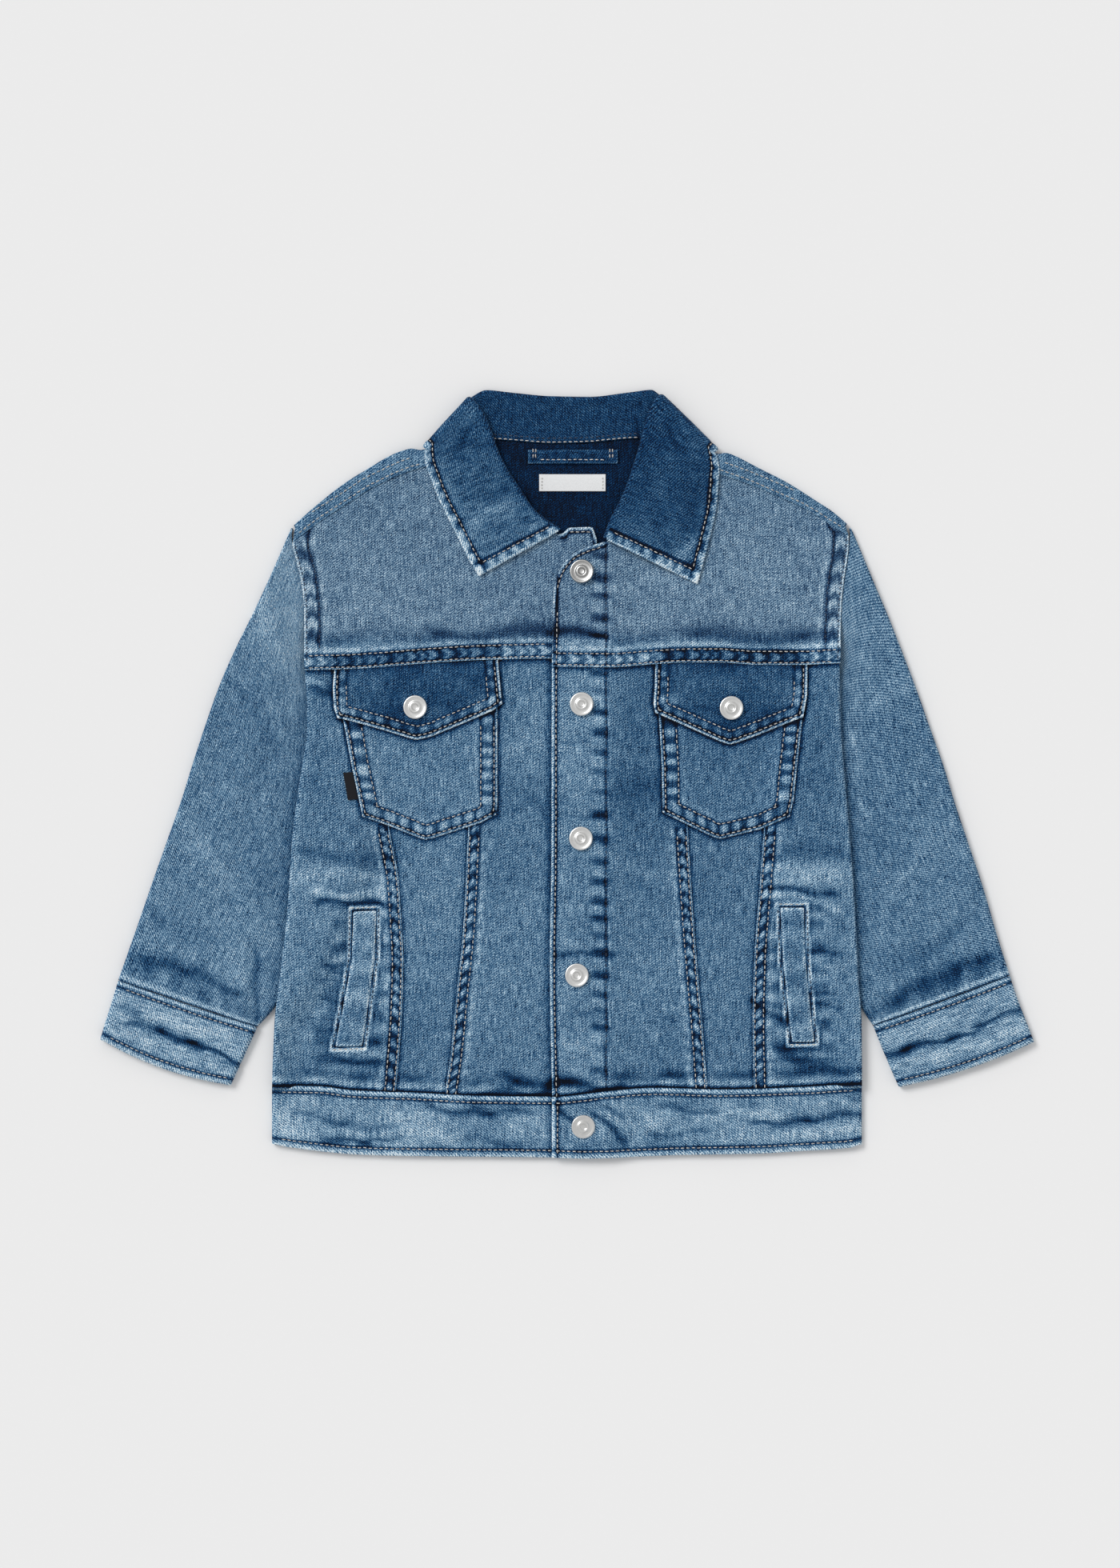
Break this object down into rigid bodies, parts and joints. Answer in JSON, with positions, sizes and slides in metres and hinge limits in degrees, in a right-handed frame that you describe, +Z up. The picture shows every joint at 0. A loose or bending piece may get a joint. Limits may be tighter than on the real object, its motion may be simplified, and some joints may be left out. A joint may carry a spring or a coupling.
{
  "type": "denim jacket",
  "caption": "Child's denim jacket laid flat with its buttons done up: folded collar, pointed chest pocket flaps, slanted welt pockets, waistband and cuffs.",
  "frame": {"origin": "centre of the bounding box on the floor that the jacket lies on", "axes": "+Z up off the floor, out of the front of the jacket; +Y from hem to collar; +X to the right as seen from above with the collar at the top, which is the wearer's left"},
  "size_m": [0.5843, 0.4802, 0.0114],
  "materials": {
    "denim": "mid blue twill denim, washed",
    "pale_denim": "paler washed twill denim",
    "band_denim": "light washed twill denim, two layers",
    "dark_denim": "dark blue twill denim, worn light at the edges",
    "inside_denim": "dark inner side of denim",
    "label_cloth": "white woven tape, bare",
    "tab_cloth": "black woven tape, bare",
    "button_metal": "satin silver"
  },
  "bodies": {
    "root": {"back_panel": "denim", "back_yoke": "inside_denim", "waistband": "band_denim", "collar": "dark_denim", "hanging_loop": "inside_denim", "neck_label": "label_cloth", "side_tab": "tab_cloth", "front_yoke_left": "pale_denim", "front_center_left": "denim", "front_middle_left": "denim", "front_side_left": "denim", "pocket_left": "denim", "flap_left": "dark_denim", "welt_left": "pale_denim", "sleeve_left": "denim", "cuff_left": "band_denim", "front_yoke_right": "pale_denim", "front_center_right": "denim", "front_middle_right": "denim", "front_side_right": "denim", "pocket_right": "denim", "flap_right": "dark_denim", "welt_right": "pale_denim", "sleeve_right": "denim", "cuff_right": "band_denim", "button_top": "button_metal", "button_chest": "button_metal", "button_middle": "button_metal", "button_low": "button_metal", "button_waist": "button_metal", "button_flap_left": "button_metal", "button_flap_right": "button_metal"}
  },
  "joints": []
}
